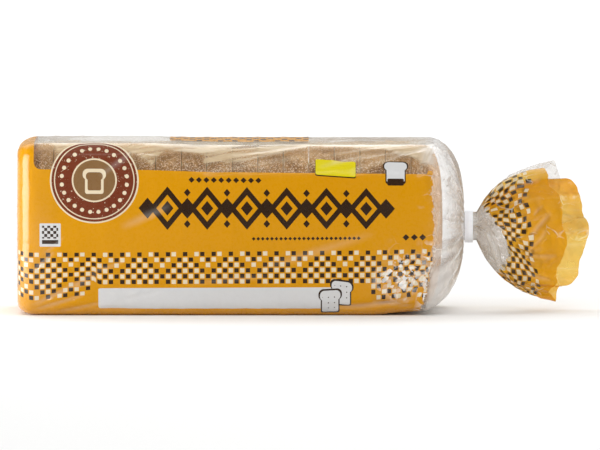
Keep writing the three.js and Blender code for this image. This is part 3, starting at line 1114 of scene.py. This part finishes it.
def baked_crust():
    """Bread crust, baked in a tin and dusted with flour: matt, brown, darker in spots of a fine grain,
    with pale specks of semolina on top and paler towards the top with painted light from above. The
    heels, which touched the tin, are paler and even."""
    material, tree = new_material("floury_baked_crust")
    place = add_node(tree, COORDINATES, output=3)
    rough = {"Vector": place, "Roughness": 0.6}
    blotch = add_node(tree, NOISE, inputs={**rough, "Scale": 1 / (12 * MM), "Detail": 4.0})
    grain = add_node(tree, NOISE, inputs={**rough, "Scale": 1 / (1.4 * MM), "Detail": 3.0})
    speck = add_node(tree, CELLS, inputs={"Vector": place, "Scale": 1 / (0.95 * MM)})
    toasted = (blotch - 0.5) * 2.4 + 0.5
    brown = {"A": linear("#7d5835"), "B": linear("#c2945f"), "Factor": toasted}
    brown = add_node(tree, MIX, COLOURS, brown)
    # Darker spots of the crust, where its fine grain rises
    dark_grain = {"A": brown, "B": linear("#4c3023"), "Factor": ((grain - 0.5) * 4).at_least(0.0)}
    brown = add_node(tree, MIX, COLOURS, dark_grain)

    normal = add_node(tree, COORDINATES, output=1)
    facing = add_node(tree, "ShaderNodeSeparateXYZ", inputs={0: normal})
    heel = ((abs(facing) - 0.35) * 3).at_least(0.0).at_most(1.0)
    baked = {"A": linear("#b98257"), "B": linear("#ffdcb0"), "Factor": (grain - 0.38) * 4}
    baked = add_node(tree, MIX, COLOURS, baked)
    brown = add_node(tree, MIX, COLOURS, {"A": brown, "B": baked, "Factor": heel * 0.85})

    up = add_node(tree, "ShaderNodeSeparateXYZ", inputs={0: place}, output=2)
    # Paler towards the top: painted light from above
    crown = ((up + blotch * 0.02 - 0.093) * 90).at_least(0.0).at_most(0.6)
    brown = add_node(tree, MIX, COLOURS, {"A": brown, "B": linear("#dcb27a"), "Factor": crown})
    floury = ((speck < 0.4) * (blotch * 1.8 - 0.15 + heel * 0.4)).at_least(0.0).at_most(1.0)
    pale = add_node(tree, MIX, COLOURS, {"A": brown, "B": linear("#eed6ba"), "Factor": floury})
    bump = {"Strength": 0.8, "Distance": 0.5 * MM, "Height": grain}
    bump = add_node(tree, BUMP, inputs=bump)
    crust = {"Base Color": pale, "Roughness": 0.85, "IOR": 1.45, "Normal": bump}
    add_node(tree, OUTPUT, inputs={"Surface": add_node(tree, PRINCIPLED, inputs=crust)})
    return material


def open_crumb():
    """Wheat crumb, cut when cool: pale cream, soft and full of small holes, with painted shade
    darkening each hole.
    """
    material, tree = new_material("cut_wheat_crumb")
    place = add_node(tree, COORDINATES, output=3)
    holes = add_node(tree, CELLS, inputs={"Vector": place, "Scale": 1 / (2.6 * MM)})
    # Painted shade: the crumb is darker in each hole
    painted_hole_shade = {"A": linear("#b89469"), "B": linear("#ecdcb9"), "Factor": (holes * 2.4).at_most(1.0)}
    bump = {"Strength": 0.7, "Distance": 0.8 * MM, "Height": holes}
    crumb = {
        "Base Color": add_node(tree, MIX, COLOURS, painted_hole_shade),
        "Roughness": 0.95,
        "Subsurface Weight": 0.15,
        "Subsurface Scale": 2 * MM,
        "Normal": add_node(tree, BUMP, inputs=bump),
    }
    add_node(tree, OUTPUT, inputs={"Surface": add_node(tree, PRINCIPLED, inputs=crumb)})
    return material


def tie_plastic(tie):
    """Calendered white plastic strip with a wire in it: smooth and satin, faintly ribbed."""
    material, tree = new_material("calendered_plastic_strip")
    place = add_node(tree, COORDINATES, output=3)
    ribs = add_node(tree, NOISE, inputs={"Vector": place, "Scale": 1 / (0.9 * MM)})
    tone = {"A": tie.white[:], "B": linear("#eef2fa"), "Factor": ribs}
    bump = {"Strength": 0.25, "Distance": 0.2 * MM, "Height": ribs}
    plastic = {
        "Base Color": add_node(tree, MIX, COLOURS, tone),
        "Roughness": 0.42,
        "IOR": 1.48,
        "Normal": add_node(tree, BUMP, inputs=bump),
    }
    add_node(tree, OUTPUT, inputs={"Surface": add_node(tree, PRINCIPLED, inputs=plastic)})
    return material


def backdrop_paper(stage):
    """Seamless background paper, rolled out and curved up behind: matt and almost white."""
    material, tree = new_material("seamless_background_paper")
    place = add_node(tree, COORDINATES, output=3)
    tooth = add_node(tree, NOISE, inputs={"Vector": place, "Scale": 1 / (3 * MM)})
    tone = {"A": stage.floor[:], "B": linear("#f2f2f1"), "Factor": tooth}
    paper = {"Base Color": add_node(tree, MIX, COLOURS, tone), "Roughness": 0.9}
    add_node(tree, OUTPUT, inputs={"Surface": add_node(tree, PRINCIPLED, inputs=paper)})
    return material


# Pieces


def film_state(length, share, points):
    """How slack the film is, how many plies lie there and how taut it is, for its material."""
    slack = smooth(length / MM, 226, 246) + 0.35 * (1 - smooth(length / MM, -14, 6))
    corner = np.exp(-(((length / MM - 221) / 15) ** 2) - ((share - 0.18) / 0.035) ** 2)
    plies = 1 - 0.45 * smooth(share, 0.668, 0.676) - 0.55 * smooth(share, 0.77, 0.778)
    height = points[..., 2] / MM
    end_edge = smooth(length / MM, -12, 0) * (1 - smooth(length / MM, 18, 34))
    foot = np.exp(-(((height - 2.5) / 3) ** 2)) * (length / MM < 250)
    return {
        "slack": np.maximum(slack, 0.8 * corner),
        "plies": np.where(share < 0.5, 0.45, plies),
        "taut": np.maximum(np.maximum(end_edge * (1 - smooth(height, 86, 93)), foot), corner),
    }


class LOAF_OT_film_bag(bpy.types.Operator):
    """Wraps, gathers and ruffles the printed film bag"""

    bl_idname = "loaf.film_bag"
    bl_label = "Film bag"

    def execute(self, context):
        bag = context.scene.loaf_bag_sizes
        tail = context.scene.loaf_tail_sizes
        rows = int(FILM_ROWS.sum())
        bm = bmesh.new()
        bm.loops.layers.uv.new("film")
        bmesh.ops.create_grid(bm, x_segments=rows, y_segments=AROUND, size=0.5, calc_uvs=True)
        row, column = grid_shares(bm, rows, AROUND)

        knots = np.concatenate([[0], np.cumsum(FILM_ROWS)])
        lengths = np.interp(np.arange(rows + 1), knots, film_zones(bag))
        shares = np.arange(AROUND + 1) / AROUND
        length, share = np.meshgrid(lengths, shares, indexing="ij")
        points = film_points(bag, tail, length, share)
        bread = context.scene.loaf_bread_sizes
        rise, crease_haze_and_glints, off = film_wrinkles(bag, tail, bread, length, share, points)
        rise[0] = rise[0].mean()
        rise[:, -1] = rise[:, 0]
        points = points + surface_normals(points) * rise[..., None] * MM
        points[0] = points[0].mean(axis=0)
        points[:, -1] = points[:, 0]
        points[..., 2] = np.maximum(points[..., 2], 0.1 * MM)

        inside = film_print_places(bag, tail, length, share)[2]
        fields = {"crease": crease_haze_and_glints, "off_bread": off, "tail_ink": inside}
        fields.update(film_state(length, share, points))
        layers = {name: bm.verts.layers.float.new(name) for name in fields}
        for vert, i, j in zip(bm.verts, row, column):
            vert.co = points[i, j]
            for name, layer in layers.items():
                vert[layer] = fields[name][i, j]
        bmesh.ops.remove_doubles(bm, verts=bm.verts, dist=1e-6)
        bmesh.ops.recalc_face_normals(bm, faces=bm.faces)

        piece = add_piece(bm, "film_bag", [printed_film(context.scene.loaf_print_colours)])
        uvs = piece.data.uv_layers["film"].data
        grid = np.zeros(len(uvs) * 2)
        uvs.foreach_get("uv", grid)
        grid = grid.reshape(-1, 2)
        loop_length = np.interp(grid[:, 0] * rows, knots, film_zones(bag))
        u, v, _ = film_print_places(bag, tail, loop_length, grid[:, 1])
        places = np.stack([(u - U_START) / U_SPAN, v / V_SPAN + 0.5], axis=-1)
        uvs.foreach_set("uv", places.ravel())
        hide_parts("bag")
        return {"FINISHED"}


SLICE_AROUND = 220  # faces round a slice
FACE_ROWS = 9  # rows of mesh from the middle of a cut face to its rim
FILM_SIDE = 52 * MM  # from the middle of the loaf to the film's inner side
FILM_FLOOR = 0.7 * MM  # height of the film's inner side under the loaf


class LOAF_OT_bread_slices(bpy.types.Operator):
    """Cuts the loaf into its slices, with a heel at each end"""

    bl_idname = "loaf.bread_slices"
    bl_label = "Bread slices"

    def execute(self, context):
        bread = context.scene.loaf_bread_sizes
        bag = context.scene.loaf_bag_sizes
        crust = baked_crust()
        crumb = open_crumb()
        random = np.random.default_rng(16)
        for number in range(bread.slices):
            self.slice(bread, bag, number, random, crust, crumb)
        return {"FINISHED"}

    def slice(self, bread, bag, number, random, crust, crumb):
        low = bread.start + number * bread.pitch + bread.gap / 2
        high = low + bread.pitch - bread.gap
        heels = (number == 0, number == bread.slices - 1)
        rims = [8 * MM if heel else bread.rim * random.uniform(0.5, 2.2) for heel in heels]
        x, inset, reach = slice_rows(bread, low, high, heels, rims)
        rows = len(x) - 1
        bm = bmesh.new()
        bmesh.ops.create_grid(bm, x_segments=rows, y_segments=SLICE_AROUND, size=0.5)
        row, column = grid_shares(bm, rows, SLICE_AROUND)

        share = np.arange(SLICE_AROUND + 1) / SLICE_AROUND
        height = bread.top - bread.base
        section = loaf_section(
            share, bread.half_depth, height, bread.base_corner, bread.top_corner, bread.top_dome, 0
        )
        grow = 1 + random.normal(0, 0.007)
        across = section[0] * grow
        up = (section[1] - height / 2) * grow
        away = np.hypot(across, up)
        crags = [[crag(x[i], across[j], up[j]) for j in range(SLICE_AROUND)] for i in range(rows + 1)]
        crags = np.array(crags)[:, list(range(SLICE_AROUND)) + [0]]
        push = (crags * bread.crust_relief - inset[:, None]) / away
        y = across * (reach[:, None] + push * reach[:, None] ** 4)
        z = up * (reach[:, None] + push * reach[:, None] ** 4)
        sway = random.normal(0, 0.4 * MM, 2)
        y = y + sway[0]
        z = z + bread.base + height / 2 + abs(sway[1])
        y = np.clip(y, -FILM_SIDE, FILM_SIDE)
        z = np.maximum(z, FILM_FLOOR)
        at = np.arange(rows + 1)
        on_heel = heels[1] * (at > rows - FACE_ROWS) - heels[0] * (at < FACE_ROWS) * 1.0
        wide_x = x[:, None] + bread.crust_relief * crags * on_heel[:, None] * reach[:, None] ** 2
        back, lift = toe(bag, wide_x, z)
        for vert, i, j in zip(bm.verts, row, column):
            vert.co = (wide_x[i, j] + 0.6 * back[i, j] + LEFT, y[i, j], z[i, j] + lift[i, j])
        bmesh.ops.remove_doubles(bm, verts=bm.verts, dist=1e-6)
        bmesh.ops.recalc_face_normals(bm, faces=bm.faces)
        middle = (low + high) / 2 + LEFT
        for face in bm.faces:
            heel = heels[0] if face.calc_center_median().x < middle else heels[1]
            face.material_index = int(abs(face.normal.x) > 0.85 and not heel)
        add_piece(bm, f"bread_slice_{number + 1:02d}", [crust, crumb])


def crag(x, y, z):
    """The crust's unevenness at a place, from about -1 to 1."""
    place = Vector((x, y, z)) / MM
    fine = noise.fractal(place / 7, 0.7, 2.0, 4) * 0.6 + noise.noise(place / 2.2) * 0.25
    return fine + noise.noise(place / 24) * 1.3


def slice_rows(bread, low, high, heels, rims):
    """The rows of a slice's mesh, from the middle of one cut face over the crust to the other's.

    Gives each row's x, how far it is drawn in from the crust, and how far out it lies on a face.
    """
    disc = np.linspace(0, 1, FACE_ROWS)[:-1]
    swell = bread.heel_swell * (1 - disc**2.5)
    angle = np.linspace(0, QUARTER, 5)
    crust = np.linspace(low + rims[0], high - rims[1], 13)[1:-1]
    rim_x = [rim * (1 - np.cos(angle)) for rim in rims]
    rim_inset = [rim * (1 - np.sin(angle)) for rim in rims]
    faces = [np.full(len(disc), rim) for rim in rims]
    outer = low - swell * heels[0], (high + swell * heels[1])[::-1]
    x = [outer[0], low + rim_x[0], crust, high - rim_x[1][::-1], outer[1]]
    inset = [faces[0], rim_inset[0], 0 * crust, rim_inset[1][::-1], faces[1]]
    reach = [disc, 1 + 0 * angle, 1 + 0 * crust, 1 + 0 * angle, disc[::-1]]
    return np.concatenate(x), np.concatenate(inset), np.concatenate(reach)


class LOAF_OT_twist_tie(bpy.types.Operator):
    """Bends the flat tie round the neck and twists its ends"""

    bl_idname = "loaf.twist_tie"
    bl_label = "Twist tie"

    def execute(self, context):
        bag = context.scene.loaf_bag_sizes
        tie = context.scene.loaf_tie_sizes
        bm = bmesh.new()
        self.band(bm, bag, tie)
        self.ends(bm, bag, tie)
        bmesh.ops.recalc_face_normals(bm, faces=bm.faces)
        bmesh.ops.solidify(bm, geom=bm.faces, thickness=tie.thickness)
        bmesh.ops.recalc_face_normals(bm, faces=bm.faces)
        piece = add_piece(bm, "tie_strip", [tie_plastic(tie)])
        piece.data.set_sharp_from_angle(angle=math.radians(50))
        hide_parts("twist_tie")
        return {"FINISHED"}

    def band(self, bm, bag, tie):
        """The closed strip round the neck, with the wire's ridge along its middle."""
        around, across = 96, 10
        grid = bmesh.ops.create_grid(bm, x_segments=across, y_segments=around, size=0.5)
        start = LEFT + bag.straight_length + bag.shoulder_reach + tie.start
        for vert in grid["verts"]:
            share = vert.co.x + 0.5
            turn = TURN * (vert.co.y + 0.5)
            ridge = tie.wire * math.exp(-(((share - 0.5) / 0.13) ** 2))
            depth = bag.neck_half_depth + tie.slack + tie.thickness + ridge
            height = bag.neck_half_height + tie.slack + tie.thickness + ridge
            y = -depth * math.sin(turn)
            z = bag.neck_height - height * math.cos(turn)
            vert.co = (start + share * tie.width, y, z)
        bmesh.ops.remove_doubles(bm, verts=bm.verts, dist=1e-6)

    def ends(self, bm, bag, tie):
        """The two ends, laid together and twisted by half a turn behind the neck."""
        along, across = 28, 6
        start = LEFT + bag.straight_length + bag.shoulder_reach + tie.start + tie.width / 2
        root = bag.neck_half_depth + tie.slack
        for side in (-1, 1):
            grid = bmesh.ops.create_grid(bm, x_segments=along, y_segments=across, size=0.5)
            for vert in grid["verts"]:
                out = vert.co.x + 0.5
                twist = math.pi * smooth(out, 0.15, 0.75)
                flare = side * 1.1 * MM * max(0.0, out - 0.75) / 0.25
                across_place = vert.co.y * tie.width * (1 - 0.35 * math.sin(math.pi * out))
                layer = side * 0.55 * tie.thickness
                x = start + across_place * math.cos(twist) - layer * math.sin(twist)
                z = bag.neck_height + across_place * math.sin(twist) + layer * math.cos(twist) + flare
                vert.co = (x, root + out * tie.tail, z)


class LOAF_OT_stage(bpy.types.Operator):
    """Sets out the floor, the lights and the camera"""

    bl_idname = "loaf.stage"
    bl_label = "Stage"

    def execute(self, context):
        stage = context.scene.loaf_stage_sizes
        self.floor(stage)
        self.world(context.scene)
        self.light("left_low_panel", (-0.47, -0.12, 0.12), (0.26, 0.25), 1.35)
        self.light("right_strip", (1.4, -0.7, 0.4), (0.14, 1.0), 9)
        self.light("top_softbox", (0.0, -0.2, 1.4), (1.6, 1.5), 6)
        self.light("front_softbox", (0.1, -2.0, 1.5), (1.2, 0.5), 10.7)
        self.light("left_spark", (-0.7, -1.9, 0.7), (0.12, 0.12), 2.4)
        self.light("right_spark", (0.9, -1.6, 0.9), (0.12, 0.12), 2.4)
        self.light("overhead_panel", (0.0, 4.1, 3.2), (7.0, 6.0), 285, (0, 4.2, 0))
        self.light("wall_wash", (0.0, 6.5, 2.6), (9.0, 1.5), 25, (0, 11, 1.6))
        self.camera(context.scene, stage)
        context.scene.view_settings.view_transform = "Standard"
        return {"FINISHED"}

    def floor(self, stage):
        """Seamless paper, flat below the loaf and curved up behind it."""
        bm = bmesh.new()
        bmesh.ops.create_grid(bm, x_segments=8, y_segments=90, size=0.5)
        before, behind, rise, radius = 9.0, 9.0, 3.0, 2.0
        for vert in bm.verts:
            along = (vert.co.y + 0.5) * (before + behind + radius * QUARTER + rise) - before
            bend = min(max(along - behind, 0) / radius, QUARTER)
            y = min(along, behind) + radius * math.sin(bend)
            z = radius * (1 - math.cos(bend)) + max(0, along - behind - radius * QUARTER)
            vert.co = (vert.co.x * 24, y, z)
        bmesh.ops.recalc_face_normals(bm, faces=bm.faces)
        mesh = bpy.data.meshes.new("paper_sweep")
        bm.to_mesh(mesh)
        bm.free()
        mesh.materials.append(backdrop_paper(stage))
        mesh.shade_smooth()
        sweep = bpy.data.objects.new("paper_sweep", mesh)
        bpy.context.scene.collection.objects.link(sweep)

    def world(self, scene):
        world = bpy.data.worlds.new("studio_air")
        world.use_nodes = True
        background = world.node_tree.nodes["Background"]
        background.inputs["Color"].default_value = (1, 1, 1, 1)
        background.inputs["Strength"].default_value = 0.22
        scene.world = world

    def light(self, name, place, panel, power, target=(0, 0, 0.05)):
        data = bpy.data.lights.new(name, "AREA")
        data.shape = "RECTANGLE"
        data.size, data.size_y = panel
        data.energy = power
        lamp = bpy.data.objects.new(name, data)
        lamp.location = place
        lamp.visible_camera = False
        aim = Vector(target) - Vector(place)
        lamp.rotation_euler = aim.to_track_quat("-Z", "Y").to_euler()
        bpy.context.scene.collection.objects.link(lamp)

    def camera(self, scene, stage):
        data = bpy.data.cameras.new("camera")
        front = cad_box[0][1]
        data.sensor_width = 36
        data.lens = data.sensor_width * stage.distance / stage.frame_width
        data.clip_end = 50
        camera = bpy.data.objects.new("camera", data)
        back = Vector((0, -math.cos(stage.elevation), math.sin(stage.elevation)))
        aim = Vector((stage.aim_x, front, stage.aim_z))
        camera.location = aim + back * stage.distance
        camera.rotation_euler = (-back).to_track_quat("-Z", "Y").to_euler()
        scene.collection.objects.link(camera)
        scene.camera = camera


class LOAF_PT_panel(bpy.types.Panel):
    """Sizes, colours and steps of the loaf in its bag"""

    bl_idname = "LOAF_PT_panel"
    bl_label = "Loaf in a film bag"
    bl_space_type = "VIEW_3D"
    bl_region_type = "UI"
    bl_category = "Loaf"

    def draw(self, context):
        for operator in OPERATORS:
            self.layout.operator(operator.bl_idname)
        for name in SETTINGS:
            box = self.layout.box()
            settings = getattr(context.scene, name)
            for key in settings.__annotations__:
                box.prop(settings, key)


SETTINGS = {
    "loaf_bag_sizes": LoafBagSizes,
    "loaf_tail_sizes": LoafTailSizes,
    "loaf_print_colours": LoafPrintColours,
    "loaf_bread_sizes": LoafBreadSizes,
    "loaf_tie_sizes": LoafTieSizes,
    "loaf_stage_sizes": LoafStageSizes,
}
OPERATORS = (LOAF_OT_stage, LOAF_OT_bread_slices, LOAF_OT_film_bag, LOAF_OT_twist_tie)


def register():
    for item in (*SETTINGS.values(), *OPERATORS, LOAF_PT_panel):
        bpy.utils.register_class(item)
    for name, group in SETTINGS.items():
        setattr(bpy.types.Scene, name, bpy.props.PointerProperty(type=group))


def unregister():
    for name in SETTINGS:
        delattr(bpy.types.Scene, name)
    for item in (LOAF_PT_panel, *reversed(OPERATORS), *reversed(SETTINGS.values())):
        bpy.utils.unregister_class(item)


def main():
    register()
    bpy.ops.loaf.stage()
    bpy.ops.loaf.bread_slices()
    bpy.ops.loaf.film_bag()
    bpy.ops.loaf.twist_tie()


if __name__ == "__main__":
    main()
